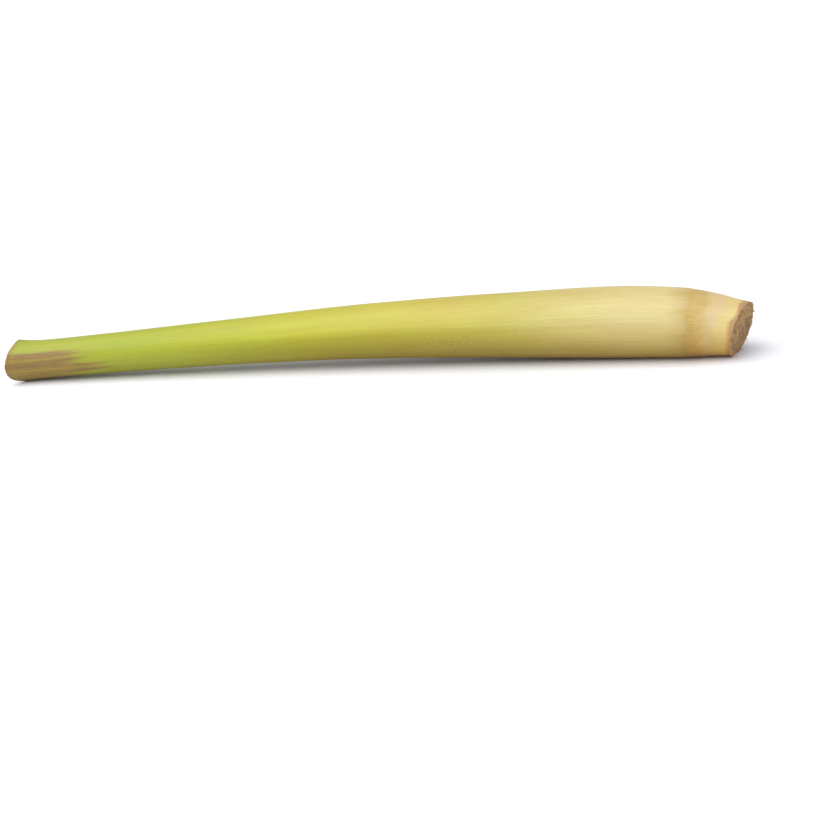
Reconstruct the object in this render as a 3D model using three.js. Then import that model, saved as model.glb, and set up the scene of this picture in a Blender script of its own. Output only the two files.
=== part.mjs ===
// A cut stalk of lemongrass, lying on its side. A short solid stem forms the butt. The rest of the stalk is
// leaf bases that grow from the stem one above another and are rolled round each other, each with one
// edge lapped over the other, so that the cut tip shows them as rings.
//
// Millimetres. X runs along the stalk from the cut tip to the butt, and Z is up.
import * as THREE from 'three';
import { mergeVertices } from 'three/addons/utils/BufferGeometryUtils.js';

// Where the two cuts cross the centre line, and how far each leans: millimetres along the stalk for each
// millimetre sideways and upwards. A lean dies away over the given length.
const tipCut = { at: -118.8, leanSide: 0.26, leanUp: 0.21, fade: 20 };
const buttCut = { at: 122.6, leanSide: 0.24, leanUp: 0.17, fade: 13 };

// The bow of the centre line, as [along, sideways] and [along, height].
const bowRows = [[-121, -0.6], [-60, 1.0], [5, 1.6], [60, 0.9], [90, 0.1], [110, -1.2], [123, -2.8]];
const heightRows = [[-121, 6.5], [-108, 6.75], [-70, 8.4], [-30, 10.0], [8, 11.15], [50, 11.2], [82, 11.0],
  [103, 10.3], [113, 9.4], [123, 8.0]];

// The skin's radius along the stalk: a slight flare at the tip, a long taper, the bulb and the bare stem.
const skinRows = [[-122, 7.2], [-116, 6.85], [-110, 6.55], [-95, 6.55], [-70, 6.9], [-30, 7.8], [11, 9.1],
  [50, 10.3], [84, 11.2], [97, 11.05], [107, 10.6], [113, 9.85], [118, 9.1], [124, 8.3]];

// The rolled leaf bases, from the outside in. Each has its name and colour, the place where it grows from the
// stem, how far its tip stands back from the cut, its wall's thickness along the stalk, the side on which
// its edges overlap in degrees (0 is sideways, 90 is up), and its steps round the body, over each
// margin and along.
const sheaths = [
  { name: 'outer_sheath', colour: 0xc3c455, base: 107.6, setBack: 0, seam: 18,
    wall: [[-119, 1.1], [0, 1.4], [60, 1.9], [95, 2.1]], bodySteps: 30, marginSteps: 5, alongSteps: 20 },
  { name: 'sheath_2', colour: 0xd8dc9a, base: 99, setBack: 0.5, seam: 236,
    wall: [[-119, 1.05], [0, 1.3], [60, 1.8], [95, 1.9]], bodySteps: 24, marginSteps: 4, alongSteps: 18 },
  { name: 'sheath_3', colour: 0xe0e2aa, base: 91, setBack: 0.2, seam: 58,
    wall: [[-119, 1.05], [0, 1.2], [60, 1.7], [90, 1.8]], bodySteps: 20, marginSteps: 3, alongSteps: 16 },
  { name: 'sheath_4', colour: 0xe6dcae, base: 84, setBack: 0.7, seam: 230,
    wall: [[-119, 1.05], [0, 1.1], [60, 1.35], [85, 1.45]], bodySteps: 16, marginSteps: 3, alongSteps: 14 },
];
const heart = { name: 'heart', colour: 0xd98a3c, base: 78, setBack: 0.4, sides: 14, alongSteps: 14 };

// The stem's bare skin stands a little below the sheath above it. Its cut face is torn rather than sliced:
// two waves cross it, each with a depth and with turns of phase for each millimetre sideways and up.
const stem = { name: 'stem_base', colour: 0xe6d490, sides: 40, skinSteps: 5, faceRings: 4, scarStep: 0.1,
  torn: [{ depth: 0.22, side: -1.2, up: 1.9 }, { depth: 0.18, side: 2.9, up: 0.9 }] };

const layerGap = 0.3; // clear space between one layer and the next
const lap = THREE.MathUtils.degToRad(52); // angle over which a sheath's two edges overlap
const marginShare = 0.44; // each lapped margin's part of the wall's thickness, the rest being the slit
const edgeGap = 0.3; // from a margin's edge to the step it faces
const stepRamp = THREE.MathUtils.degToRad(4); // angle over which the wall steps from full to margin thickness
const offCentre = 0.3; // how far a sheath's bore lies off its centre: the wall is thick at the overlap
const offCentreEnds = { from: 10, to: 70 }; // the bores come back to the centre over this stretch of the bulb
const twist = THREE.MathUtils.degToRad(14); // how far the overlaps turn round the stalk from butt to tip
const crowding = 0.55; // how much closer the steps lie at both ends of a layer than on average

// A smooth curve through rows of [along, value].
function curveThrough(rows) {
  const slopeAt = (i) => {
    const before = rows[Math.max(i - 1, 0)];
    const after = rows[Math.min(i + 1, rows.length - 1)];
    return (after[1] - before[1]) / (after[0] - before[0]);
  };
  return (along) => {
    const last = rows.length - 2;
    const found = rows.findIndex((row) => row[0] > along) - 1;
    const i = found < -1 ? last : THREE.MathUtils.clamp(found, 0, last);
    const width = rows[i + 1][0] - rows[i][0];
    const t = THREE.MathUtils.clamp((along - rows[i][0]) / width, 0, 1);
    return rows[i][1] * (1 + 2 * t) * (1 - t) ** 2 + rows[i + 1][1] * t * t * (3 - 2 * t)
      + width * (slopeAt(i) * t * (1 - t) ** 2 - slopeAt(i + 1) * t * t * (1 - t));
  };
}

const bow = curveThrough(bowRows);
const height = curveThrough(heightRows);
const skinRadius = curveThrough(skinRows);

// The point of the centre line at a place along the stalk.
function centreLine(along) {
  return new THREE.Vector3(along, bow(along), height(along));
}

// How far a cut's lean moves a point along the stalk.
function leanOf(cut, along, side, up) {
  const share = 1 - THREE.MathUtils.clamp(Math.abs(along - cut.at) / cut.fade, 0, 1);
  return share * (cut.leanSide * side + cut.leanUp * up);
}

// A point of the stalk from its place along the centre line and its distances sideways and upwards from it.
// The stalk lies on a flat surface, which presses a small flat on it wherever it reaches down to it.
function placeAt(along, side, up) {
  const centre = centreLine(along);
  const ahead = centreLine(along + 1).sub(centreLine(along - 1)).normalize();
  const across = new THREE.Vector3(0, 1, 0).addScaledVector(ahead, -ahead.y).normalize();
  const upwards = new THREE.Vector3().crossVectors(ahead, across);
  const lean = leanOf(tipCut, along, side, up) + leanOf(buttCut, along, side, up);
  const point = centre.addScaledVector(across, side).addScaledVector(upwards, up);
  point.addScaledVector(ahead, lean);
  point.z = Math.max(point.z, 0);
  return point;
}

// Moves every vertex of a geometry by a function of its position, and leaves one closed skin.
function reshape(geometry, move) {
  geometry.deleteAttribute('normal');
  geometry.deleteAttribute('uv');
  const position = geometry.getAttribute('position');
  const vertex = new THREE.Vector3();
  for (let i = 0; i < position.count; i += 1) {
    const moved = move(vertex.fromBufferAttribute(position, i));
    position.setXYZ(i, moved.x, moved.y, moved.z);
  }
  const closed = mergeVertices(geometry, 1e-4);
  closed.computeVertexNormals();
  return closed;
}

// Runs from 0 to 1 with its steps crowded at both ends.
function crowdEnds(share) {
  return share - crowding * Math.sin(2 * Math.PI * share) / (2 * Math.PI);
}

// The layers from the outside in: each starts a gap inside the bore of the one before, and round its centre.
function layOut() {
  const layers = [];
  let outerRadius = skinRadius;
  let centre = () => new THREE.Vector2(0, 0);
  for (const sheath of sheaths) {
    const wall = curveThrough(sheath.wall);
    const radius = outerRadius;
    const middle = centre;
    const seamAt = (along) => THREE.MathUtils.degToRad(sheath.seam)
      + twist * (buttCut.at - along) / (buttCut.at - tipCut.at);
    const boreRadius = (along) => radius(along) - wall(along);
    const boreCentre = (along) => {
      const share = 1 - THREE.MathUtils.smoothstep(along, offCentreEnds.from, offCentreEnds.to);
      const shift = new THREE.Vector2(Math.cos(seamAt(along)), Math.sin(seamAt(along)));
      return middle(along).clone().addScaledVector(shift, -offCentre * share);
    };
    layers.push({ ...sheath, radius, middle, seamAt, boreRadius, boreCentre });
    outerRadius = (along) => boreRadius(along) - layerGap;
    centre = boreCentre;
  }
  return { layers, heartRadius: outerRadius, heartCentre: centre };
}

// Even steps from one value to another, both ends included.
function spread(from, to, steps) {
  return Array.from({ length: steps + 1 }, (_, i) => THREE.MathUtils.lerp(from, to, i / steps));
}

// The angles of the steps round a sheath, measured from its back. It is rolled through more than a full turn:
// an inner margin, the body at full thickness, and an outer margin that laps over the inner one.
function sectionOf(layer) {
  const end = Math.PI + lap / 2;
  const step = Math.PI - lap / 2 - edgeGap / layer.radius(tipCut.at);
  return [...spread(-end, -step, layer.marginSteps),
    ...spread(-step + stepRamp, step - stepRamp, layer.bodySteps),
    ...spread(step, end, layer.marginSteps)];
}

// A rolled leaf base: a flat strip, a box with one step through its thickness, that is rolled up.
function rolledSheath(layer) {
  const angles = sectionOf(layer);
  const steps = angles.length - 1;
  const innerEdge = layer.marginSteps;
  const outerEdge = steps - layer.marginSteps;
  const tip = tipCut.at + layer.setBack;
  const strip = new THREE.BoxGeometry(steps, 1, 1, steps, 1, layer.alongSteps);
  return reshape(strip, (vertex) => {
    const index = Math.round(vertex.x + steps / 2);
    const outside = vertex.y > 0;
    const along = THREE.MathUtils.lerp(layer.base, tip, crowdEnds(vertex.z + 0.5));
    let share = outside ? 1 : 0;
    if (outside && index <= innerEdge) share = marginShare;
    if (!outside && index >= outerEdge) share = 1 - marginShare;
    const angle = layer.seamAt(along) + Math.PI + angles[index];
    const ray = new THREE.Vector2(Math.cos(angle), Math.sin(angle));
    const outer = layer.middle(along).clone().addScaledVector(ray, layer.radius(along));
    const inner = layer.boreCentre(along).addScaledVector(ray, layer.boreRadius(along));
    const flat = inner.lerp(outer, share);
    return placeAt(along, flat.x, flat.y);
  });
}

// The heart: the youngest leaves as one tight roll.
function rolledHeart(radius, centre) {
  const tip = tipCut.at + heart.setBack;
  const roll = new THREE.CylinderGeometry(1, 1, 1, heart.sides, heart.alongSteps);
  return reshape(roll, (vertex) => {
    const along = THREE.MathUtils.lerp(heart.base, tip, crowdEnds(vertex.y + 0.5));
    const flat = centre(along).addScaledVector(new THREE.Vector2(vertex.x, vertex.z), radius(along));
    return placeAt(along, flat.x, flat.y);
  });
}

// The stem: its stepped cone inside the bulb, the bare skin below the lowest scar and the rough cut face.
function stemBase(layers) {
  const roots = [{ base: heart.base, boreRadius: () => 0 }, ...layers.slice().reverse()];
  const outline = [new THREE.Vector2(0, heart.base + layerGap)];
  for (let i = 1; i < roots.length; i += 1) {
    const from = roots[i - 1].base + layerGap;
    const to = roots[i].base + layerGap;
    const coneRadius = (along) => roots[i].boreRadius(along) - layerGap;
    outline.push(new THREE.Vector2(coneRadius(from), from), new THREE.Vector2(coneRadius(to), to));
  }
  const scar = roots[roots.length - 1].base + layerGap;
  for (const along of spread(scar, buttCut.at, stem.skinSteps)) {
    outline.push(new THREE.Vector2(skinRadius(along) - stem.scarStep, along));
  }
  const rim = outline[outline.length - 1];
  for (const radius of spread(rim.x, 0, stem.faceRings).slice(1)) {
    outline.push(new THREE.Vector2(radius, rim.y));
  }
  return reshape(new THREE.LatheGeometry(outline, stem.sides), ({ x: up, y: along, z: side }) => {
    const onFace = along > rim.y - 0.01;
    const torn = stem.torn.map((wave) => wave.depth * Math.sin(wave.side * side + wave.up * up));
    return placeAt(onFace ? along + torn[0] + torn[1] : along, side, up);
  });
}

function meshOf({ name, colour }, geometry, roughness) {
  const material = new THREE.MeshStandardMaterial({ color: colour, roughness, metalness: 0 });
  const mesh = new THREE.Mesh(geometry, material);
  mesh.name = name;
  return mesh;
}

const { layers, heartRadius, heartCentre } = layOut();
const stalk = new THREE.Group();
stalk.add(meshOf(stem, stemBase(layers), 0.6));
for (const layer of layers) {
  stalk.add(meshOf(layer, rolledSheath(layer), 0.45));
}
stalk.add(meshOf(heart, rolledHeart(heartRadius, heartCentre), 0.5));

// The origin is on the surface that the stalk lies on, below the middle of its box.
const box = new THREE.Box3().setFromObject(stalk);
stalk.position.set(-(box.min.x + box.max.x) / 2, -(box.min.y + box.max.y) / 2, 0);

export default stalk;
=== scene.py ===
import math
import random
from functools import lru_cache

import bpy
from mathutils import Matrix, Vector, noise


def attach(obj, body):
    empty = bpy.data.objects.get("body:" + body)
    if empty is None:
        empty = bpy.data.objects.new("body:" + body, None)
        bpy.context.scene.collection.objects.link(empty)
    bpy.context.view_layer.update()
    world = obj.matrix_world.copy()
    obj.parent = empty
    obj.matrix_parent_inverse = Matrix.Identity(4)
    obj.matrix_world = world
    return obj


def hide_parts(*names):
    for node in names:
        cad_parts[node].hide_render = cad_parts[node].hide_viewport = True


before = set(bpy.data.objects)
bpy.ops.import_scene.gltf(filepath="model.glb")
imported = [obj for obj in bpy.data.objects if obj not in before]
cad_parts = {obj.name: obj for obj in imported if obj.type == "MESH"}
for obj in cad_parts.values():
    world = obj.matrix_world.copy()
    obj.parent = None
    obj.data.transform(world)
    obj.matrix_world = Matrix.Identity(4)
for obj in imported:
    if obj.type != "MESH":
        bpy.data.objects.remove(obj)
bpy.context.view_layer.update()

mm = 0.001
turn = 2 * math.pi

# The stalk's own lines, in mm: x runs along it from the cut tip to the butt. A cut leans to the side and up
# by these slopes, and that fades out over its length.
stalk = {
    "shift": (-2.601, -0.034),  # from these lines to the frame, along and sideways
    "tipCut": {"at": -118.8, "leanSide": 0.26, "leanUp": 0.21, "fade": 20},
    "buttCut": {"at": 122.6, "leanSide": 0.24, "leanUp": 0.17, "fade": 13},
    "bow": [(-121, -0.6), (-60, 1.0), (5, 1.6), (60, 0.9), (90, 0.1), (110, -1.2), (123, -2.8)],
    "height": [(-121, 6.5), (-108, 6.75), (-70, 8.4), (-30, 10.0), (8, 11.15), (50, 11.2), (82, 11.0),
               (103, 10.3), (113, 9.4), (123, 8.0)],
    "skin": [(-122, 7.2), (-116, 6.85), (-110, 6.55), (-95, 6.55), (-70, 6.9), (-30, 7.8), (11, 9.1),
             (50, 10.3), (84, 11.2), (97, 11.05), (107, 10.6), (113, 9.85), (118, 9.1), (124, 8.3)],
}


def curveThrough(rows):
    def slopeAt(i):
        before, after = rows[max(i - 1, 0)], rows[min(i + 1, len(rows) - 1)]
        return (after[1] - before[1]) / (after[0] - before[0])

    def valueAt(along):
        i = max(0, min(len(rows) - 2, sum(row[0] <= along for row in rows) - 1))
        width = rows[i + 1][0] - rows[i][0]
        t = max(0.0, min(1.0, (along - rows[i][0]) / width))
        return (rows[i][1] * (1 + 2 * t) * (1 - t) ** 2 + rows[i + 1][1] * t * t * (3 - 2 * t)
                + width * (slopeAt(i) * t * (1 - t) ** 2 - slopeAt(i + 1) * t * t * (1 - t)))
    return valueAt


bow = curveThrough(stalk["bow"])
height = curveThrough(stalk["height"])
skinRadius = curveThrough(stalk["skin"])


def smooth(low, high, value):
    t = max(0.0, min(1.0, (value - low) / (high - low)))
    return t * t * (3 - 2 * t)


def hump(value, middle, width):
    return math.exp(-((value - middle) / width) ** 2)


@lru_cache(maxsize=None)
def axesAt(along):
    centre = Vector((along, bow(along), height(along)))
    ahead = Vector((2, bow(along + 1) - bow(along - 1), height(along + 1) - height(along - 1))).normalized()
    across = (Vector((0, 1, 0)) - ahead * ahead.y).normalized()
    return centre, ahead, across, ahead.cross(across)


# A point from its place along the centre line and beside it. The table presses the low places flat.
def placeAt(along, side, up, push=0.0):
    centre, ahead, across, upwards = axesAt(along)
    for cut in (stalk["tipCut"], stalk["buttCut"]):
        share = max(0.0, 1 - abs(along - cut["at"]) / cut["fade"])
        push += share * (cut["leanSide"] * side + cut["leanUp"] * up)
    point = centre + across * side + upwards * up + ahead * push
    shift = stalk["shift"]
    return Vector((point.x + shift[0], point.y + shift[1], max(point.z, 0))) * mm


# The rolled leaf bases. Lengths are mm, angles degrees, and steps go along and around.
roll = {
    "twist": 14,               # how far the overlaps turn round the stalk from butt to tip
    "lap": 52,                 # how far a leaf's two edges overlap
    "marginShare": 0.475,      # each edge has this share of the wall's thickness
    "stepRamp": 5,             # the wall steps down to that over this angle
    "edgeThinning": (0.3, 6),  # the outer edge is thinner by this share, over this angle
    "offCentre": 0.3,          # each bore lies this far off, towards the leaf's overlap
    "offCentreEnds": (10, 70),  # which fades out between these places
    "solidGap": 0.3,           # between the frame's solids
    "leafGap": 0.04,           # between these leaves, before their unevenness, which is more than that
    "edgeGap": 0.1,            # between a leaf's edge and the step that it lies in
    "widthAt": 60,             # where a leaf's width is taken
    "crease": 40,              # edges beyond this angle stay sharp
    "leaves": [
        {"name": "OuterSheath", "node": "outer_sheath", "slot": "outer_leaf", "base": 107.7, "setBack": 0,
         "seam": 18, "wall": [(-119, 1.1), (0, 1.4), (60, 1.9), (95, 2.1)], "steps": (140, 300),
         "crowding": 0.5},
        {"name": "SecondSheath", "node": "sheath_2", "slot": "inner_leaf", "base": 99, "setBack": 0.5,
         "seam": 236, "wall": [(-119, 1.05), (0, 1.3), (60, 1.8), (95, 1.9)], "steps": (70, 150),
         "crowding": 0.8},
        {"name": "ThirdSheath", "node": "sheath_3", "slot": "inner_leaf", "base": 91, "setBack": 0.2,
         "seam": 58, "wall": [(-119, 1.05), (0, 1.2), (60, 1.7), (90, 1.8)], "steps": (70, 130),
         "crowding": 0.8},
        {"name": "FourthSheath", "node": "sheath_4", "slot": "inner_leaf", "base": 84, "setBack": 0.7,
         "seam": 230, "wall": [(-119, 1.05), (0, 1.1), (60, 1.35), (85, 1.45)], "steps": (70, 110),
         "crowding": 0.8},
    ],
}

# What growth and the knife do to a leaf, in mm.
grain = {
    "ribs": [(3, 0.024, 45, 0.62), (7, 0.016, 90, 1.9)],  # seed, depth, length and width
    "unevenness": (0.1, 30, 13),   # depth, length and width
    "evenFoot": (14, 1),           # it fades out between these distances from the leaf's foot
    "wallSteps": (0.0, 0.1, 0.5, 0.9, 1.0),  # where the points through the wall lie, as shares of it
    "tornRim": (5, 0.16, 1.1),     # seed, how far the cut's edge is ragged, and how wide its teeth are
    "rimWave": (9, 0.3, 5.5),      # the same for its slow waves
    "rimReach": 2.5,               # both fade out over this length
    "rimBevel": 0.1,
    "pits": (0.08, 0.4, 3),        # depth, width and changes through the wall of the cut's small pits
    # where the cut is set back: depth, the way it faces, width of that in degrees, and reach along
    "trims": [(4.2, 257, 36, 14), (0.7, 92, 26, 7)],
    "flare": (0.7, 100, 17, 4.5),    # one corner of the cut stands out, in the same terms
    "scarRidge": (0.1, 105.8, 2.4),  # height, place and width of the swelling where the leaf joins the stem
    "footTaper": 4.5,                # the leaf's foot thins out over this length
    "footWall": 0.03,                # to this
    "footSink": 0.06,                # and its edge grows into the stem's skin
}

# The heart is one long young leaf, rolled tight.
heart = {
    "name": "HeartRoll", "node": "heart", "slot": "heart_leaf", "base": 78, "setBack": 0.4,
    "turns": 2.4, "width": 18, "steps": (70, 96), "crowding": 0.8,
    "core": 0.1, "wall": 0.86,  # the hole's radius and the wall, as shares of one turn's spacing
    "innerWall": (0.3, 3),      # the inner edge has this share of the wall, which grows this fast
    "rimWave": (4, 0.25, 2, 2),  # seed, depth, number in a turn and reach of the cut's waves
}
leafGrowth = (roll["solidGap"] - roll["leafGap"]) / 2


# The leaves from the outside in: each lies a gap inside the bore of the one before, and round its centre.
def layOut():
    radius, centre = skinRadius, lambda along: Vector((0, 0))
    layers = []
    for leaf in roll["leaves"]:
        def seamAt(along, seam=leaf["seam"]):
            length = stalk["buttCut"]["at"] - stalk["tipCut"]["at"]
            return math.radians(seam + roll["twist"] * (stalk["buttCut"]["at"] - along) / length)

        def boreRadius(along, radius=radius, wall=curveThrough(leaf["wall"])):
            return radius(along) - wall(along)

        def boreCentre(along, centre=centre, seamAt=seamAt):
            share = roll["offCentre"] * (1 - smooth(*roll["offCentreEnds"], along))
            return centre(along) - Vector((math.cos(seamAt(along)), math.sin(seamAt(along)))) * share

        layers.append(dict(leaf, radius=radius, centre=centre, seamAt=seamAt, bore=boreRadius,
                           boreCentre=boreCentre, growth=leafGrowth if layers else 0))
        radius, centre = (lambda along, bore=boreRadius: bore(along) - roll["solidGap"]), boreCentre
    return layers, radius, centre


layers, heartRadius, heartCentre = layOut()


def deselectAll():
    if bpy.context.object and bpy.context.object.mode != "OBJECT":
        bpy.ops.object.mode_set(mode="OBJECT")
    bpy.ops.object.select_all(action="DESELECT")


# A flat leaf, one unit long, wide and thick, with more steps through its thickness where the knife cut it,
# which is its low end.
def flatLeaf(name, steps):
    deselectAll()
    bpy.ops.mesh.primitive_grid_add(x_subdivisions=steps[0], y_subdivisions=steps[1], size=1)
    leaf = bpy.context.active_object
    leaf.name = leaf.data.name = name
    leaf.data.uv_layers.active.name = "skin"
    thickness = leaf.modifiers.new("thickness", "SOLIDIFY")
    thickness.thickness = 1
    thickness.offset = 1
    bpy.ops.object.modifier_apply(modifier=thickness.name)
    bpy.ops.object.mode_set(mode="EDIT")
    bpy.ops.mesh.select_mode(type="EDGE")
    bpy.ops.mesh.select_all(action="DESELECT")
    bpy.ops.object.mode_set(mode="OBJECT")
    points, atCut = leaf.data.vertices, -0.499
    for edge in leaf.data.edges:
        a, b = (points[i].co for i in edge.vertices)
        edge.select = a.x < atCut and b.x < atCut and abs(a.z - b.z) > 0.5
    bpy.ops.object.mode_set(mode="EDIT")
    bpy.ops.mesh.subdivide(number_cuts=len(grain["wallSteps"]) - 2)
    bpy.ops.object.mode_set(mode="OBJECT")
    return leaf


# Keeps one number for each point of a mesh, for its material.
def keepNumbers(mesh, name, numbers):
    mesh.attributes.new(name, "FLOAT", "POINT")
    mesh.attributes[name].data.foreach_set("value", numbers)


def faceOutwards(piece):
    bpy.context.view_layer.objects.active = piece
    bpy.ops.object.mode_set(mode="EDIT")
    bpy.ops.mesh.select_all(action="SELECT")
    bpy.ops.mesh.normals_make_consistent(inside=False)
    bpy.ops.object.mode_set(mode="OBJECT")


def addPiece(piece, node, finish):
    piece.data.materials.append(finish)
    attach(piece, "root")
    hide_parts(node)


# Rolls a flat leaf up. For a point's shares along, around and through the wall, place gives where it goes,
# its distance along the stalk and the way it faces, in radians up from sideways.
def rollUp(leaf, place, width):
    walls, stations, facings = [], [], []
    for point in leaf.data.vertices:
        walls.append(point.co.z)
        point.co, station, facing = place(point.co.x + 0.5, 0.5 - point.co.y, point.co.z)
        stations.append(station)
        facings.append(facing)
    flat = leaf.data.uv_layers["skin"].data
    for corner in leaf.data.loops:
        flat[corner.index].uv = (stations[corner.vertex_index] * mm, flat[corner.index].uv[1] * width * mm)
    keepNumbers(leaf.data, "wall", walls)
    keepNumbers(leaf.data, "facing", facings)
    faceOutwards(leaf)
    bpy.ops.object.shade_smooth_by_angle(angle=math.radians(roll["crease"]))
    print(leaf.name, "rolled:", len(leaf.data.polygons), "faces")


# Packs the steps closer at both ends, where the leaf's form changes most.
def crowdEnds(share, crowding):
    return share - crowding * math.sin(turn * share) / turn


# All leaves were cut at one stroke, so their ends share its form.
def trimAt(fromTip, facing):
    return sum(depth * hump(math.degrees(facing) % 360, at, wide) * (1 - smooth(0, reach, fromTip))
               for depth, at, wide, reach in grain["trims"])


def ripple(along, around, seed, depth, long, wide):
    return depth * noise.noise(Vector((along / long, around / wide, seed)))


def makeSheath(layer, number, finish):
    end = math.pi + math.radians(roll["lap"]) / 2
    step = turn - end - roll["edgeGap"] / layer["radius"](stalk["tipCut"]["at"])
    ramp = math.radians(roll["stepRamp"])
    thinning, thinningAngle = roll["edgeThinning"]
    tip = stalk["tipCut"]["at"] + layer["setBack"]
    middleRadius = layer["radius"](roll["widthAt"])
    wallSteps = grain["wallSteps"]
    outside = number == 0

    @lru_cache(maxsize=None)
    def stationAt(along):
        return (layer["seamAt"](along), layer["radius"](along), layer["centre"](along),
                layer["bore"](along), layer["boreCentre"](along))

    def place(alongShare, aroundShare, wall):
        along = tip + (layer["base"] - tip) * crowdEnds(alongShare, layer["crowding"])
        angle = (2 * aroundShare - 1) * end
        around = angle * middleRadius
        seam, radius, centre, bore, boreCentre = stationAt(along)
        facing = seam + math.pi + angle

        # the inner margin keeps to the bore, the outer one to the skin
        low = (1 - roll["marginShare"]) * smooth(step - ramp, step, angle)
        high = 1 - (1 - roll["marginShare"]) * (1 - smooth(-step, -step + ramp, angle))
        high -= thinning * smooth(end - math.radians(thinningAngle), end, angle)
        part = wallSteps[round(wall * (len(wallSteps) - 1))]
        swell = ripple(along, around, number, *grain["unevenness"])
        swell *= 1 - smooth(*(layer["base"] - fromFoot for fromFoot in grain["evenFoot"]), along)
        outerRadius = radius + layer["growth"] + swell
        boreRadius = bore - leafGrowth + swell
        if outside:
            depth, at, wide, reach = grain["flare"]
            flare = depth * hump(math.degrees(facing) % 360, at, wide) * (1 - smooth(0, reach, along - tip))
            ridge, at, wide = grain["scarRidge"]
            outerRadius += flare + ridge * hump(along, at, wide)
            outerRadius -= grain["footSink"] * smooth(stem["scar"], layer["base"], along)
            foot = smooth(layer["base"] - grain["footTaper"], layer["base"], along)
            boreRadius += flare + (outerRadius - grain["footWall"] - boreRadius - flare) * foot
        if part == 1:
            outerRadius += sum(ripple(along, around, *rib) for rib in grain["ribs"])
        ray = Vector((math.cos(facing), math.sin(facing)))
        flat = (boreCentre + ray * boreRadius).lerp(centre + ray * outerRadius, low + (high - low) * part)

        # the knife's edge
        toothSeed, teeth, toothWidth = grain["tornRim"]
        waveSeed, wave, waveWidth = grain["rimWave"]
        rim = (teeth * noise.noise(Vector((around / toothWidth, number, toothSeed)))
               + wave * noise.noise(Vector((around / waveWidth, 0, waveSeed))))
        push = trimAt(along - tip, facing) + rim * (1 - smooth(0, grain["rimReach"], along - tip))
        if alongShare == 0:
            pit, pitWidth, changes = grain["pits"]
            push += grain["rimBevel"] * (part in (0, 1))
            push -= pit * noise.noise(Vector((around / pitWidth, part * changes, number)))
        return placeAt(along, flat.x, flat.y, push), along, facing

    leaf = flatLeaf(layer["name"], layer["steps"])
    rollUp(leaf, place, 2 * end * middleRadius)
    addPiece(leaf, layer["node"], finish)


def makeHeart(finish):
    tip = stalk["tipCut"]["at"] + heart["setBack"]
    pitch = 1 / (heart["core"] + heart["turns"] + heart["wall"])
    least, growth = heart["innerWall"]
    seed, depth, waves, reach = heart["rimWave"]

    @lru_cache(maxsize=None)
    def stationAt(along):
        return heartRadius(along) + leafGrowth, heartCentre(along)

    def place(alongShare, aroundShare, wall):
        along = tip + (heart["base"] - tip) * crowdEnds(alongShare, heart["crowding"])
        radius, centre = stationAt(along)
        turns = aroundShare * heart["turns"]
        thick = heart["wall"] * wall * min(1, least + growth * aroundShare)
        ray = Vector((math.cos(turn * turns), math.sin(turn * turns)))
        flat = centre + ray * (radius * pitch * (heart["core"] + turns + thick))
        wave = depth * noise.noise(Vector((turns * waves, wall, seed)))
        push = wave * (1 - smooth(0, reach, along - tip))
        return placeAt(along, flat.x, flat.y, push), along, turn * turns

    leaf = flatLeaf(heart["name"], heart["steps"])
    rollUp(leaf, place, heart["width"])
    addPiece(leaf, heart["node"], finish)


# The stem, in mm. It narrows in steps inside the bulb, one for each leaf that grows from it.
stem = {
    "name": "StemBase",
    "sides": 240,
    "scar": 107.0,         # where the bare skin begins, under the sheath's foot
    "scarStep": 0.1,       # the step up to it takes this length
    "underFoot": 0.1,      # how much the skin dips under that foot
    "dipLength": 0.7,
    "evenLength": 4,       # beyond the foot the skin is even over this length
    "skinSteps": 34,
    "faceRings": 44,
    "faceStep": 0.02,      # the face's rings lie this far beyond the rim, before it is roughened
    "skinWaves": [(0.035, 0.7, 20), (0.09, 5, 5)],     # depth, width round the stem and length along it
    "relief": [(0.6, 2.6), (0.42, 1.0), (0.26, 0.5)],  # depth and width of the lumps on the torn face
    "reliefEnds": 0.86,    # the lumps fade out from this share of the radius to the rim
    "teeth": (0.42, 1.0),  # the same for the teeth of its rim
    "teethReach": 1.6,     # which reach this far back along the skin
    "teethStart": 0.75,    # and start at this share of the radius
    "dome": (0.35, 4),     # the middle of the face stands out by this, over this radius
    "faceSink": 0.12,
    "crease": 50,
}


def stemOutline():
    end = stalk["buttCut"]["at"]
    bases = [heart["base"]] + [layer["base"] for layer in reversed(layers)]
    rows = []
    gap = roll["solidGap"]
    for start, stop, layer in zip(bases, bases[1:], reversed(layers)):
        stop = min(stop + gap, stem["scar"] - grain["footTaper"])
        for share in (0, 0.5, 1):
            along = start + gap + (stop - start - gap) * share
            rows.append((along, layer["bore"](along) - gap))
    scar = stem["scar"]
    rows.append((scar - stem["scarStep"], skinRadius(scar) - stem["underFoot"] - grain["footWall"]))
    for i in range(stem["skinSteps"] + 1):
        along = scar + (end - scar) * i / stem["skinSteps"]
        dip = stem["underFoot"] * (1 - smooth(0, stem["dipLength"], along - scar))
        rows.append((along, skinRadius(along) - dip))
    for i in range(1, stem["faceRings"]):
        rows.append((end + stem["faceStep"], skinRadius(end) * (1 - i / stem["faceRings"])))
    return rows


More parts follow.
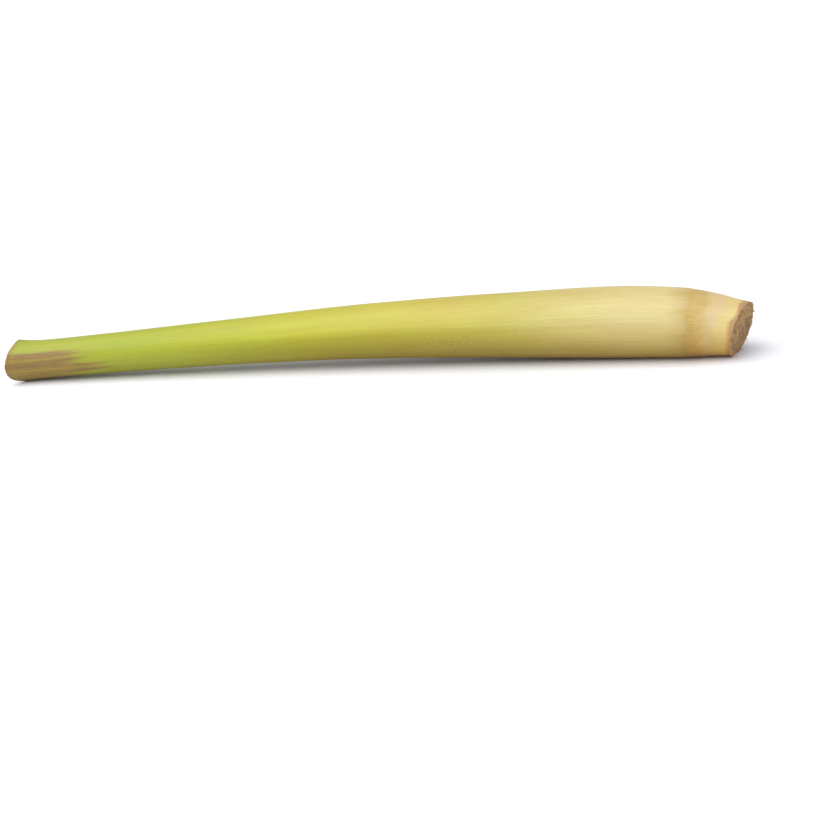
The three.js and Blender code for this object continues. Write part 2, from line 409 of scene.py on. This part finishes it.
# One ring is drawn out along the stem, step by step, and closed at the middle of the cut face.
def makeStem(skinFinish, faceFinish):
    outline, end, scar = stemOutline(), stalk["buttCut"]["at"], stem["scar"]
    deselectAll()
    bpy.ops.mesh.primitive_circle_add(vertices=stem["sides"], radius=outline[0][1] * mm,
                                      location=(outline[0][0] * mm, 0, 0), rotation=(0, math.pi / 2, 0))
    piece = bpy.context.active_object
    piece.name = piece.data.name = stem["name"]
    bpy.ops.object.transform_apply(location=True, rotation=True, scale=True)
    bpy.ops.object.mode_set(mode="EDIT")
    bpy.ops.mesh.select_mode(type="EDGE")
    bpy.ops.mesh.select_all(action="SELECT")
    for (before, wide), (after, narrow) in zip(outline, outline[1:]):
        bpy.ops.mesh.extrude_region_move(TRANSFORM_OT_translate={"value": ((after - before) * mm, 0, 0)})
        ratio = narrow / wide
        bpy.ops.transform.resize(value=(1, ratio, ratio), center_override=(after * mm, 0, 0))
    bpy.ops.mesh.merge(type="CENTER")
    bpy.ops.mesh.select_all(action="DESELECT")
    bpy.ops.mesh.select_non_manifold()
    bpy.ops.mesh.edge_face_add()
    bpy.ops.object.mode_set(mode="OBJECT")

    addPiece(piece, "stem_base", skinFinish)
    mesh = piece.data
    mesh.materials.append(faceFinish)
    skinUv = mesh.uv_layers.new(name="skin")
    rimRadius, half = skinRadius(end), stem["faceStep"] / 2
    for face in mesh.polygons:
        stations = [mesh.vertices[i].co.x for i in face.vertices]
        face.material_index = int(min(stations) > (end - half) * mm and max(stations) > (end + half) * mm)
        turns = [math.atan2(mesh.vertices[i].co.y, -mesh.vertices[i].co.z) / turn for i in face.vertices]
        wraps = max(turns) - min(turns) > 0.5
        for corner, station, share in zip(face.loop_indices, stations, turns):
            share += 1 if wraps and share < 0 else 0
            skinUv.data[corner].uv = (station, share * turn * rimRadius * mm)

    shares, facings = [], []
    for point in mesh.vertices:
        along, side, up = point.co / mm
        radius = math.hypot(side, up)
        onFace = along > end + half
        facings.append(math.atan2(up, abs(side)))
        shares.append(radius / rimRadius if onFace else 1)
        push = 0
        if along > scar - stem["scarStep"] / 2:
            around = math.atan2(up, side)
            ring = Vector((math.cos(around), math.sin(around), 0)) * rimRadius
            if not onFace:
                grow = sum(depth * noise.noise(ring / wide + Vector((0, 0, along / long)))
                           for depth, wide, long in stem["skinWaves"])
                grow *= smooth(layers[0]["base"], layers[0]["base"] + stem["evenLength"], along)
                side, up = side * (1 + grow / radius), up * (1 + grow / radius)
            teeth, toothWidth = stem["teeth"]
            push = teeth * noise.noise(ring / toothWidth)
            push *= smooth(end - stem["teethReach"], end, along)
            push *= smooth(stem["teethStart"], 1, radius / rimRadius)
        if onFace:
            relief = sum(depth * noise.noise(Vector((side / wide, up / wide, wide)))
                         for depth, wide in stem["relief"])
            dome, domeRadius = stem["dome"]
            relief += dome * hump(radius, 0, domeRadius) - stem["faceSink"]
            push += relief * (1 - smooth(stem["reliefEnds"], 1, radius / rimRadius))
        point.co = placeAt(along, side, up, push)
    keepNumbers(mesh, "face", shares)
    keepNumbers(mesh, "facing", facings)
    faceOutwards(piece)
    bpy.ops.object.shade_smooth_by_angle(angle=math.radians(stem["crease"]))
    print(stem["name"], "drawn out:", len(mesh.polygons), "faces")


# Torn strands that stand out of the cut face, in mm.
fibres = {
    "name": "TornFibres",
    "count": 60,
    "length": (0.5, 2.0),
    "thickness": (0.05, 0.11),
    "taper": 0.25,             # a tip has this share of its strand's thickness
    "sides": 6,
    "bends": (0.3, 0.55, 0.8),  # where a strand can bend, as shares of its length
    "root": 0.5,               # how deep each is rooted
    "ring": (0.55, 0.985),     # where they stand, as shares of the rim's radius
    "lean": 0.5,
    "curl": 0.5,
    "seed": 11,
}


def makeFibres(finish):
    draw = random.Random(fibres["seed"])
    end = stalk["buttCut"]["at"]
    deselectAll()
    bpy.ops.mesh.primitive_cone_add(vertices=fibres["sides"], radius1=1, radius2=fibres["taper"], depth=1,
                                    location=(0, 0, 0))
    model = bpy.context.active_object
    bpy.ops.object.mode_set(mode="EDIT")
    bpy.ops.mesh.select_all(action="SELECT")
    bpy.ops.transform.translate(value=(0, 0, 0.5))
    for share in fibres["bends"]:
        bpy.ops.mesh.select_all(action="SELECT")
        bpy.ops.mesh.bisect(plane_co=(0, 0, share), plane_no=(0, 0, 1))
    bpy.ops.object.mode_set(mode="OBJECT")
    strands = [model]
    for i in range(fibres["count"] - 1):
        strand = model.copy()
        strand.data = model.data.copy()
        bpy.context.collection.objects.link(strand)
        strands.append(strand)
    for strand in strands:
        length = draw.uniform(*fibres["length"]) + fibres["root"]
        thick = draw.uniform(*fibres["thickness"])
        angle = draw.uniform(0, turn)
        radius = skinRadius(end) * math.sqrt(draw.uniform(*(share ** 2 for share in fibres["ring"])))
        lean, curl = fibres["lean"], fibres["curl"]
        ahead = Vector((1, draw.uniform(-lean, lean), draw.uniform(-lean, lean))).normalized()
        bent = Vector((0, draw.uniform(-curl, curl), draw.uniform(-curl, curl)))
        root = placeAt(end, radius * math.cos(angle), radius * math.sin(angle), -fibres["root"])
        turned = Vector((0, 0, 1)).rotation_difference(ahead).to_matrix()
        for point in strand.data.vertices:
            share = point.co.z
            straight = Vector((point.co.x * thick, point.co.y * thick, share * length))
            point.co = root + (turned @ straight + bent * share ** 2 * length) * mm
            point.co.z = max(point.co.z, 0)
    deselectAll()
    for strand in strands:
        strand.select_set(True)
    bpy.context.view_layer.objects.active = model
    bpy.ops.object.join()
    model.name = model.data.name = fibres["name"]
    model.data.materials.append(finish)
    bpy.ops.object.shade_smooth()
    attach(model, "root")
    print(fibres["name"], "set:", fibres["count"])


def linear(hexColour):
    value = [int(hexColour[i:i + 2], 16) / 255 for i in (1, 3, 5)]
    return [v / 12.92 if v <= 0.04045 else ((v + 0.055) / 1.055) ** 2.4 for v in value] + [1]


# Adds a node and gives its output. A setting goes to the input of that name or number, or else to the node
# itself. The setting "out" names the output; without it that is a mix's colour, or another node's first.
def addNode(tree, kind, settings=None, links=None):
    node = tree.nodes.new("ShaderNode" + kind)
    settings = dict(settings or {})
    out = settings.pop("out", 2 if kind == "Mix" else 0)
    for i, (position, colour) in enumerate(settings.pop("stops", [])):
        element = node.color_ramp.elements[i] if i < 2 else node.color_ramp.elements.new(1)
        element.position = position
        element.color = linear(colour)
    if kind == "Mix":
        node.data_type = "RGBA"
    for key, value in settings.items():
        if isinstance(key, int) or key in node.inputs:
            node.inputs[key].default_value = linear(value) if isinstance(value, str) else value
        else:
            setattr(node, key, value)
    for key, socket in (links or {}).items():
        tree.links.new(socket, node.inputs[key])
    return node.outputs[out]


def newMaterial(name, settings):
    material = bpy.data.materials.new(name)
    material.use_nodes = True
    shader = material.node_tree.nodes["Principled BSDF"]
    for key, value in settings.items():
        shader.inputs[key].default_value = value
    return material, material.node_tree, shader


fleshGlow = {"Subsurface Radius": (1.0, 0.8, 0.3), "Subsurface Scale": 1.2 * mm, "IOR": 1.42}
noiseSpan = {"From Min": 0.3, "From Max": 0.7}  # where nearly all of a noise's values lie


# Marks drawn out along the skin, of this length and width in mm.
def drawnOut(tree, length, width, detail, roughness=0.5):
    scale = (1 / (length * mm), 1 / (width * mm), 1)
    flat = addNode(tree, "Mapping", {"Scale": scale}, {"Vector": addNode(tree, "UVMap", {"uv_map": "skin"})})
    return addNode(tree, "TexNoise", {"Scale": 1, "Detail": detail, "Roughness": roughness}, {"Vector": flat})


# How near a value is to a middle: one up to the first distance, none from the second on.
def nearness(tree, value, middle, near, far):
    offset = addNode(tree, "Math", {"operation": "SUBTRACT", 1: middle}, {0: value})
    distance = addNode(tree, "Math", {"operation": "ABSOLUTE"}, {0: offset})
    return addNode(tree, "MapRange", {"interpolation_type": "SMOOTHSTEP", "From Min": near, "From Max": far,
                                      "To Min": 1, "To Max": 0}, {"Value": distance})


# The same along the stalk, in mm.
def nearPlace(tree, station, middle, near, far):
    return nearness(tree, station, middle * mm, near * mm, far * mm)


# A value that a mark moves to and fro by up to this distance in mm.
def wandering(tree, value, mark, distance):
    reach = {"To Min": -distance * mm, "To Max": distance * mm}
    change = addNode(tree, "MapRange", {**noiseSpan, **reach}, {"Value": mark})
    return addNode(tree, "Math", {"operation": "ADD"}, {0: value, 1: change})


# The colour by place along the stalk, from stops in mm.
def alongStalk(tree, station, stops):
    low, high = stops[0][0], stops[-1][0]
    share = addNode(tree, "MapRange", {"From Min": low * mm, "From Max": high * mm}, {"Value": station})
    shares = [((at - low) / (high - low), colour) for at, colour in stops]
    return addNode(tree, "ValToRGB", {"stops": shares}, {"Fac": share})


# The side that faces down is painted darker: painted shade, together with some of the skin's own deeper
# colour there. The stops run from facing down to facing up.
def shadeAndDeepenBelow(tree, colour, stops, amount=None):
    facing = addNode(tree, "Attribute", {"attribute_name": "facing", "out": "Fac"})
    up = addNode(tree, "Math", {"operation": "SINE"}, {0: facing})
    share = addNode(tree, "MapRange", {"From Min": -1, "From Max": 1}, {"Value": up})
    tint = addNode(tree, "ValToRGB", {"stops": stops}, {"Fac": share})
    links = {6: colour, 7: tint}
    if amount:
        links[0] = amount
    return addNode(tree, "Mix", {"blend_type": "MULTIPLY", 0: 1}, links)


# The ends of the fibres and the stains in a cut, with their sizes in mm.
cutMarks = {
    "fibreSpacing": 0.6,
    "dots": {"From Min": 0.1, "From Max": 0.3, "To Min": 0.6, "To Max": 0},
    "stainSize": 3,
    "stains": {"From Min": 0.46, "From Max": 0.68, "To Max": 0.75},
}


# The cut through a leaf: pale, mauve at its skin, with the ends of its fibres, and browned here and there.
def cutFlesh(tree, wall, colours):
    place = addNode(tree, "TexCoord", {"out": "Object"})
    ground = addNode(tree, "ValToRGB", {"stops": colours["flesh"]}, {"Fac": wall})
    ends = addNode(tree, "TexVoronoi", {"Scale": 1 / (cutMarks["fibreSpacing"] * mm)}, {"Vector": place})
    dots = addNode(tree, "MapRange", cutMarks["dots"], {"Value": ends})
    dotted = addNode(tree, "Mix", {7: colours["fibreEnd"]}, {0: dots, 6: ground})
    stain = addNode(tree, "TexNoise", {"Scale": 1 / (cutMarks["stainSize"] * mm), "Detail": 3},
                    {"Vector": place})
    stains = addNode(tree, "MapRange", cutMarks["stains"], {"Value": stain})
    return addNode(tree, "Mix", {7: colours["browned"]}, {0: stains, 6: dotted})


# Leaf sheath: living skin under a thin coat of wax, with veins that run its whole length. The eye gets a
# soft broad sheen, fine parallel lines, and one slow change from lime green to cream.
sheathSkin = {
    "shader": {"Subsurface Weight": 0.08, **fleshGlow},
    "stops": [(-121.4, "#A6AD34"), (-72.4, "#AAB22E"), (-17.4, "#C0BC38"), (22.6, "#C7BA4E"),
              (50.6, "#C7BA5C"), (68.6, "#D0C074"), (90.6, "#D8C787"), (100.6, "#D9C888"),
              (105.1, "#CDB878"), (107.6, "#C9AC64")],
    "wander": 3,             # how far these colours wander, in mm
    "hue": {**noiseSpan, "To Min": 0.491, "To Max": 0.509},
    # painted shade on the side that faces down, with some of the skin's own deeper colour
    "belowShadeAndTone": [(0.0, "#B09A62"), (0.22, "#C4B680"), (0.47, "#EFE6CC"), (0.67, "#FFFFFF"),
                (0.85, "#FEFDFC"), (1.0, "#F7F3EC")],
    "belowShadeAndToneAmount": (-60, 0, 0.58),   # all of it from the second place on, and this much before the first
    # painted shade on the low flank of the middle part: middle and reach along, and the same round, in
    # degrees
    "flankShade": "#E9ECC4",
    "flankShadeAlong": (2, 25, 80),
    "flankShadeRound": (186, 6, 36),
    # marks: length and width in mm, detail and roughness, then how they change the ground's brightness
    "streak": (30, 0.6, 4, 0.6),
    "streakShade": {**noiseSpan, "To Min": 0.93, "To Max": 1.035},
    "wash": (70, 3.0, 2),
    "washShade": {**noiseSpan, "To Min": 0.97, "To Max": 1.025},
    "fleck": (4, 0.45, 2),
    "fleckShade": {**noiseSpan, "To Min": 0.965, "To Max": 1.035},
    "mottle": (22, 3.8, 3),
    "vein": (125, 0.3, 2),
    "veinColour": "#979A38",
    "veins": {"From Min": 0.54, "From Max": 0.68, "To Max": 0.15},
    # the bruise by the cut: the middle of its facing and half its width inside and out, in degrees, where
    # it ends along the stalk, and the tail that runs on, with how much further it reaches
    "bruise": [(0.64, "#866146"), (0.8, "#967141"), (0.97, "#A68B43")],
    "bruiseAt": (198, 51, 63),
    "bruiseEnds": (-102, -89),
    "bruiseTail": (200, 3, 22, 12),
    "bruiseWander": (6, 4),  # how far its end wanders with the wash and with the streaks
    "bruiseDepth": {**noiseSpan, "To Min": 0.66, "To Max": 1.05},
    "bruiseFlecks": 0.6,
    "dryEdge": "#9A7030",
    "dryEdgeEnds": (-118.2, -116.6),
    "dryEdgeAmount": 0.6,
    # pale scuffs: middle and reach along, middle and reach round, strength
    "scuffs": [(34, 21, 195, 28, 0.9), (58, 12, 172, 26, 0.4)],
    "chip": (1.4, 0.67, 3, 0.6),
    "chips": {"From Min": 0.56, "From Max": 0.65},
    "scuff": "#E6CDAC",
    "flesh": [(0.0, "#A87C70"), (0.16, "#BFA98A"), (0.34, "#C6C796"), (0.7, "#C3C88C"), (1.0, "#A9B258")],
    "fibreEnd": "#D9D9AE",
    "browned": "#9A7646",
    "skinStart": {"From Min": 0.8, "From Max": 0.98},  # where the flesh gives way to the skin
    "wax": {**noiseSpan, "To Min": 0.38, "To Max": 0.52},
    "bump": {"Strength": 0.3, "Distance": 0.1 * mm},
}


def makeSheathSkin():
    look = sheathSkin
    material, tree, shader = newMaterial("waxedLeafSheath", look["shader"])
    station = addNode(tree, "SeparateXYZ", {}, {0: addNode(tree, "UVMap", {"uv_map": "skin"})})
    facing = addNode(tree, "Attribute", {"attribute_name": "facing", "out": "Fac"})
    degrees = addNode(tree, "Math", {"operation": "DEGREES"}, {0: facing})
    mottle, wash, streak, vein, fleck = (drawnOut(tree, *look[key])
                                         for key in ("mottle", "wash", "streak", "vein", "fleck"))
    along = wandering(tree, station, mottle, look["wander"])
    hue = addNode(tree, "MapRange", look["hue"], {"Value": mottle})
    value = addNode(tree, "MapRange", look["streakShade"], {"Value": streak})
    for mark, shade in ((wash, look["washShade"]), (fleck, look["fleckShade"])):
        change = addNode(tree, "MapRange", shade, {"Value": mark})
        value = addNode(tree, "Math", {"operation": "MULTIPLY"}, {0: value, 1: change})
    ground = addNode(tree, "HueSaturation", {}, {"Hue": hue, "Value": value,
                                                 "Color": alongStalk(tree, along, look["stops"])})
    veins = addNode(tree, "MapRange", look["veins"], {"Value": vein})
    colour = addNode(tree, "Mix", {7: look["veinColour"]}, {0: veins, 6: ground})

    # the bruise breaks up into streaks where it ends
    reach = station
    for mark, reachChange in zip((wash, streak), look["bruiseWander"]):
        reach = wandering(tree, reach, mark, reachChange)
    *tailAt, further = look["bruiseTail"]
    reach = addNode(tree, "Math", {"operation": "MULTIPLY_ADD", 1: -further * mm},
                    {0: nearness(tree, degrees, *tailAt), 2: reach})
    start, stop = look["bruiseEnds"]
    patch = addNode(tree, "MapRange", {"interpolation_type": "SMOOTHSTEP", "From Min": start * mm,
                                       "From Max": stop * mm, "To Min": 1, "To Max": 0}, {"Value": reach})
    patch = addNode(tree, "Math", {"operation": "MULTIPLY"},
                    {0: patch, 1: nearness(tree, degrees, *look["bruiseAt"])})
    depth = addNode(tree, "MapRange", look["bruiseDepth"], {"Value": streak})
    patch = addNode(tree, "Math", {"operation": "MULTIPLY"}, {0: patch, 1: depth})
    blend = addNode(tree, "Math", {"operation": "MULTIPLY_ADD", 1: look["bruiseFlecks"]}, {0: fleck, 2: wash})
    tint = addNode(tree, "ValToRGB", {"stops": look["bruise"]}, {"Fac": blend})
    colour = addNode(tree, "Mix", {}, {0: patch, 6: colour, 7: tint})
    start, stop = look["dryEdgeEnds"]
    dry = addNode(tree, "MapRange", {"From Min": start * mm, "From Max": stop * mm,
                                     "To Min": look["dryEdgeAmount"], "To Max": 0}, {"Value": station})
    colour = addNode(tree, "Mix", {7: look["dryEdge"]}, {0: dry, 6: colour})

    chip = drawnOut(tree, *look["chip"])
    for middle, reachAlong, middleRound, reachRound, strength in look["scuffs"]:
        where = addNode(tree, "Math", {"operation": "MULTIPLY"},
                        {0: nearPlace(tree, station, middle, 0, reachAlong),
                         1: nearness(tree, degrees, middleRound, 0, reachRound)})
        rubbed = addNode(tree, "MapRange", {**look["chips"], "To Max": strength}, {"Value": chip})
        rubbed = addNode(tree, "Math", {"operation": "MULTIPLY"}, {0: where, 1: rubbed})
        colour = addNode(tree, "Mix", {7: look["scuff"]}, {0: rubbed, 6: colour})
    # painted shade on the underside, with some of the skin's own deeper colour; it is weaker towards the tip
    start, stop, least = look["belowShadeAndToneAmount"]
    amount = addNode(tree, "MapRange", {"From Min": start * mm, "From Max": stop * mm, "To Min": least},
                     {"Value": station})
    colour = shadeAndDeepenBelow(tree, colour, look["belowShadeAndTone"], amount)
    # painted shade, multiplied in on the low flank of the middle part
    flankShade = addNode(tree, "Math", {"operation": "MULTIPLY"},
                    {0: nearPlace(tree, station, *look["flankShadeAlong"]),
                     1: nearness(tree, degrees, *look["flankShadeRound"])})
    colour = addNode(tree, "Mix", {"blend_type": "MULTIPLY", 7: look["flankShade"]}, {0: flankShade, 6: colour})

    wall = addNode(tree, "Attribute", {"attribute_name": "wall", "out": "Fac"})
    onSkin = addNode(tree, "MapRange", look["skinStart"], {"Value": wall})
    colour = addNode(tree, "Mix", {}, {0: onSkin, 6: cutFlesh(tree, wall, look), 7: colour})
    tree.links.new(colour, shader.inputs["Base Color"])
    wax = addNode(tree, "MapRange", look["wax"], {"Value": streak})
    tree.links.new(wax, shader.inputs["Roughness"])
    ribs = addNode(tree, "Math", {"operation": "ADD"}, {0: streak, 1: vein})
    bump = addNode(tree, "Bump", look["bump"], {"Height": ribs})
    tree.links.new(bump, shader.inputs["Normal"])
    return material


# Inner leaf base: tender tissue that light never reached. It looks pale and a little wet, and its mauve skin
# shows as fine rings in the cut.
innerLeaf = {
    "shader": {"Roughness": 0.45, "Subsurface Weight": 0.15, **fleshGlow},
    "flesh": [(0.0, "#B8A487"), (0.25, "#CBC79C"), (0.6, "#CFC6A0"), (0.86, "#BF9E8C"), (1.0, "#A8766C")],
    "fibreEnd": "#DAD8B6",
    "browned": "#A9855A",
    "streak": (50, 0.7, 3),
    "streakShade": {**noiseSpan, "To Min": 0.88, "To Max": 1.04},
    "bump": {"Strength": 0.3, "Distance": 0.1 * mm},
}


def makeInnerLeaf():
    material, tree, shader = newMaterial("tenderInnerLeaf", innerLeaf["shader"])
    wall = addNode(tree, "Attribute", {"attribute_name": "wall", "out": "Fac"})
    streak = drawnOut(tree, *innerLeaf["streak"])
    value = addNode(tree, "MapRange", innerLeaf["streakShade"], {"Value": streak})
    colour = addNode(tree, "HueSaturation", {}, {"Value": value, "Color": cutFlesh(tree, wall, innerLeaf)})
    tree.links.new(colour, shader.inputs["Base Color"])
    bump = addNode(tree, "Bump", innerLeaf["bump"], {"Height": streak})
    tree.links.new(bump, shader.inputs["Normal"])
    return material


# Heart leaf: the youngest tissue, moist and orange where it is cut.
heartLeaf = {
    "shader": {"Roughness": 0.42, "Subsurface Weight": 0.15, **fleshGlow},
    "stops": [(0.15, "#A85C22"), (0.6, "#C98436"), (1.0, "#D4A25C")],
    "speckSize": 0.7,
    "speckShare": 0.5,   # how much the specks do to the colour, beside the place in the wall
}


def makeHeartLeaf():
    material, tree, shader = newMaterial("moistHeartLeaf", heartLeaf["shader"])
    wall = addNode(tree, "Attribute", {"attribute_name": "wall", "out": "Fac"})
    speck = addNode(tree, "TexNoise", {"Scale": 1 / (heartLeaf["speckSize"] * mm), "Detail": 2},
                    {"Vector": addNode(tree, "TexCoord", {"out": "Object"})})
    share = addNode(tree, "Math", {"operation": "MULTIPLY_ADD", 1: heartLeaf["speckShare"]},
                    {0: speck, 2: wall})
    colour = addNode(tree, "ValToRGB", {"stops": heartLeaf["stops"]}, {"Fac": share})
    tree.links.new(colour, shader.inputs["Base Color"])
    return material


# Stem skin: smooth and slightly moist. It gives a tan band with fine dark marks where the leaf was joined,
# then a pinkish flush and cream up to the brown edge of the cut.
stemSkin = {
    "shader": {"Roughness": 0.5, "Subsurface Weight": 0.1, **fleshGlow},
    "stops": [(100, "#C9AC64"), (107.3, "#C6AB62"), (108.8, "#CAAC62"), (111.6, "#CEB26C"),
              (114, "#D6BF84"), (116, "#D8C288"), (118.2, "#DEC884"), (123, "#DFC882")],
    # painted shade on the side that faces down, with some of the skin's own deeper colour
    "belowShadeAndTone": [(0.0, "#B89E6C"), (0.22, "#D6C496"), (0.47, "#F1E7D0"), (0.67, "#FFFFFF"),
                (0.85, "#FEFDFC"), (1.0, "#F5F1E8")],
    "streak": (9, 0.9, 4, 0.6),
    "streakShade": {**noiseSpan, "To Min": 0.93, "To Max": 1.05},
    "mark": (4, 0.4, 2),
    "marks": {"From Min": 0.54, "From Max": 0.68, "To Max": 0.5},
    "markColour": "#B08A4A",
    "band": (109.8, 1.6, 3.4),   # the marks lie about this place
    "blot": (7.5, 6, 3),
    "wander": 2,                 # how far the colours wander with the blots
    "upperSide": {"From Min": -0.1, "From Max": 0.5},
    "flush": (114.8, 0, 4),
    "flushAmount": {**noiseSpan, "To Max": 0.45},
    "flushColour": "#E0BE9C",
    "rim": "#BC9362",
    "rimEnds": (121.5, 122.6),
    "rimFray": 2.2,
    "bump": {"Strength": 0.3, "Distance": 0.12 * mm},
}


def makeStemSkin():
    look = stemSkin
    material, tree, shader = newMaterial("moistStemSkin", look["shader"])
    station = addNode(tree, "SeparateXYZ", {}, {0: addNode(tree, "UVMap", {"uv_map": "skin"})})
    streak, mark, blot = (drawnOut(tree, *look[key]) for key in ("streak", "mark", "blot"))
    along = wandering(tree, station, blot, look["wander"])
    value = addNode(tree, "MapRange", look["streakShade"], {"Value": streak})
    colour = addNode(tree, "HueSaturation", {}, {"Value": value,
                                                 "Color": alongStalk(tree, along, look["stops"])})

    dark = addNode(tree, "MapRange", look["marks"], {"Value": mark})
    band = nearPlace(tree, station, *look["band"])
    dark = addNode(tree, "Math", {"operation": "MULTIPLY"}, {0: dark, 1: band})
    colour = addNode(tree, "Mix", {7: look["markColour"]}, {0: dark, 6: colour})

    # the flush and the frayed brown rim are on the upper side
    facing = addNode(tree, "Attribute", {"attribute_name": "facing", "out": "Fac"})
    upper = addNode(tree, "MapRange", look["upperSide"],
                    {"Value": addNode(tree, "Math", {"operation": "SINE"}, {0: facing})})
    flush = addNode(tree, "MapRange", look["flushAmount"], {"Value": blot})
    flush = addNode(tree, "Math", {"operation": "MULTIPLY"}, {0: flush, 1: upper})
    flush = addNode(tree, "Math", {"operation": "MULTIPLY"},
                    {0: flush, 1: nearPlace(tree, station, *look["flush"])})
    colour = addNode(tree, "Mix", {7: look["flushColour"]}, {0: flush, 6: colour})
    fray = addNode(tree, "MapRange", {**noiseSpan, "To Max": look["rimFray"] * mm}, {"Value": blot})
    fray = addNode(tree, "Math", {"operation": "MULTIPLY_ADD"}, {0: fray, 1: upper, 2: station})
    start, stop = look["rimEnds"]
    rim = addNode(tree, "MapRange", {"From Min": start * mm, "From Max": stop * mm}, {"Value": fray})
    colour = addNode(tree, "Mix", {7: look["rim"]}, {0: rim, 6: colour})
    # the underside is painted darker: painted shade with some of the skin's own deeper colour
    tree.links.new(shadeAndDeepenBelow(tree, colour, look["belowShadeAndTone"]), shader.inputs["Base Color"])
    bump = addNode(tree, "Bump", look["bump"], {"Height": streak})
    tree.links.new(bump, shader.inputs["Normal"])
    return material


# Torn pith: cut through and browned by the air. It is rough and has no gloss, and the ends of its fibres
# show as pale dots.
tornPith = {
    "shader": {"Roughness": 0.8, "IOR": 1.42},
    "ground": [(0.28, "#6E5439"), (0.44, "#A07E52"), (0.57, "#BE9960"), (0.72, "#D8B882")],
    "clumpSize": 2.1,
    "shadow": "#6E584E",
    "shadowSize": 6,
    "shadows": {"From Min": 0.44, "From Max": 0.62, "To Max": 0.4},
    "fibreEnd": "#D2B68A",
    "fibreSpacing": 0.85,
    "dots": {"From Min": 0.12, "From Max": 0.28, "To Min": 0.8, "To Max": 0},
    "rind": "#B58C5C",
    "rindStart": {"From Min": 0.84, "From Max": 0.95, "To Max": 0.75},
    "bump": {"Strength": 0.8, "Distance": 0.4 * mm},
}


def makeTornPith():
    look = tornPith
    material, tree, shader = newMaterial("tornPith", look["shader"])
    place = addNode(tree, "TexCoord", {"out": "Object"})
    clump = addNode(tree, "TexNoise", {"Scale": 1 / (look["clumpSize"] * mm), "Detail": 6, "Roughness": 0.7},
                    {"Vector": place})
    colour = addNode(tree, "ValToRGB", {"stops": look["ground"]}, {"Fac": clump})
    patch = addNode(tree, "TexNoise", {"Scale": 1 / (look["shadowSize"] * mm), "Detail": 2},
                    {"Vector": place})
    patch = addNode(tree, "MapRange", look["shadows"], {"Value": patch})
    colour = addNode(tree, "Mix", {7: look["shadow"]}, {0: patch, 6: colour})
    ends = addNode(tree, "TexVoronoi", {"Scale": 1 / (look["fibreSpacing"] * mm)}, {"Vector": place})
    dots = addNode(tree, "MapRange", look["dots"], {"Value": ends})
    shown = addNode(tree, "MapRange", noiseSpan, {"Value": clump})
    dots = addNode(tree, "Math", {"operation": "MULTIPLY"}, {0: dots, 1: shown})
    colour = addNode(tree, "Mix", {7: look["fibreEnd"]}, {0: dots, 6: colour})
    radius = addNode(tree, "Attribute", {"attribute_name": "face", "out": "Fac"})
    rind = addNode(tree, "MapRange", look["rindStart"], {"Value": radius})
    colour = addNode(tree, "Mix", {7: look["rind"]}, {0: rind, 6: colour})
    tree.links.new(colour, shader.inputs["Base Color"])
    bump = addNode(tree, "Bump", look["bump"], {"Height": clump})
    tree.links.new(bump, shader.inputs["Normal"])
    return material


# Dry plant fibre: straw that was torn. It is pale and has hardly any gloss.
strawFibre = {
    "shader": {"Roughness": 0.7, "IOR": 1.5},
    "stops": [(0.35, "#9A7448"), (0.65, "#D8BE90")],
    "grainSize": 1.1,
}


def makeStrawFibre():
    material, tree, shader = newMaterial("tornStrawFibre", strawFibre["shader"])
    place = addNode(tree, "TexCoord", {"out": "Object"})
    shade = addNode(tree, "TexNoise", {"Scale": 1 / (strawFibre["grainSize"] * mm), "Detail": 2},
                    {"Vector": place})
    colour = addNode(tree, "ValToRGB", {"stops": strawFibre["stops"]}, {"Fac": shade})
    tree.links.new(colour, shader.inputs["Base Color"])
    return material


# Angles are degrees, and the camera's distances mm.
studio = {
    "floorSize": 12, "floor": "#F6F6F7",
    "sky": "#EEF2FF", "skyStrength": 0.66,
    "sun": 2.45, "sunAngle": 72, "sunFrom": (-0.42, -0.3, 1.0),
    "azimuth": 15, "elevation": 20, "roll": -7.09, "halfView": 12.2,
    "target": (12.3, 0, -15.9), "distance": 614.9,
}


def makeStudio():
    deselectAll()
    bpy.ops.mesh.primitive_plane_add(size=studio["floorSize"], location=(0, 0, 0))
    floor = bpy.context.active_object
    floor.name = "Table"
    whiteTop = newMaterial("mattWhiteTable", {"Roughness": 0.7, "Base Color": linear(studio["floor"])})[0]
    floor.data.materials.append(whiteTop)

    world = bpy.data.worlds.new("whiteRoom")
    bpy.context.scene.world = world
    world.use_nodes = True
    sky = world.node_tree.nodes["Background"]
    sky.inputs["Color"].default_value = linear(studio["sky"])
    sky.inputs["Strength"].default_value = studio["skyStrength"]
    bpy.ops.object.light_add(type="SUN", location=(0, 0, 1))
    sun = bpy.context.active_object
    sun.data.energy = studio["sun"]
    sun.data.angle = math.radians(studio["sunAngle"])
    sun.rotation_euler = Vector(studio["sunFrom"]).to_track_quat("Z", "Y").to_euler()

    azimuth, elevation, tilt = (math.radians(studio[key]) for key in ("azimuth", "elevation", "roll"))
    back = Vector((math.sin(azimuth) * math.cos(elevation), -math.cos(azimuth) * math.cos(elevation),
                   math.sin(elevation)))
    right = Vector((math.cos(azimuth), math.sin(azimuth), 0))
    up = back.cross(right)
    right, up = right * math.cos(tilt) + up * math.sin(tilt), up * math.cos(tilt) - right * math.sin(tilt)
    bpy.ops.object.camera_add()
    camera = bpy.context.active_object
    spot = (Vector(studio["target"]) + back * studio["distance"]) * mm
    camera.matrix_world = Matrix.Translation(spot) @ Matrix((right, up, back)).transposed().to_4x4()
    camera.data.lens = camera.data.sensor_width / 2 / math.tan(math.radians(studio["halfView"]))
    camera.data.clip_start = 0.01
    bpy.context.scene.camera = camera
    bpy.context.scene.view_settings.view_transform = "Standard"
    print("studio set")


skinFinish, innerFinish = makeSheathSkin(), makeInnerLeaf()
for number, layer in enumerate(layers):
    makeSheath(layer, number, innerFinish if number else skinFinish)
makeHeart(makeHeartLeaf())
makeStem(makeStemSkin(), makeTornPith())
makeFibres(makeStrawFibre())
makeStudio()
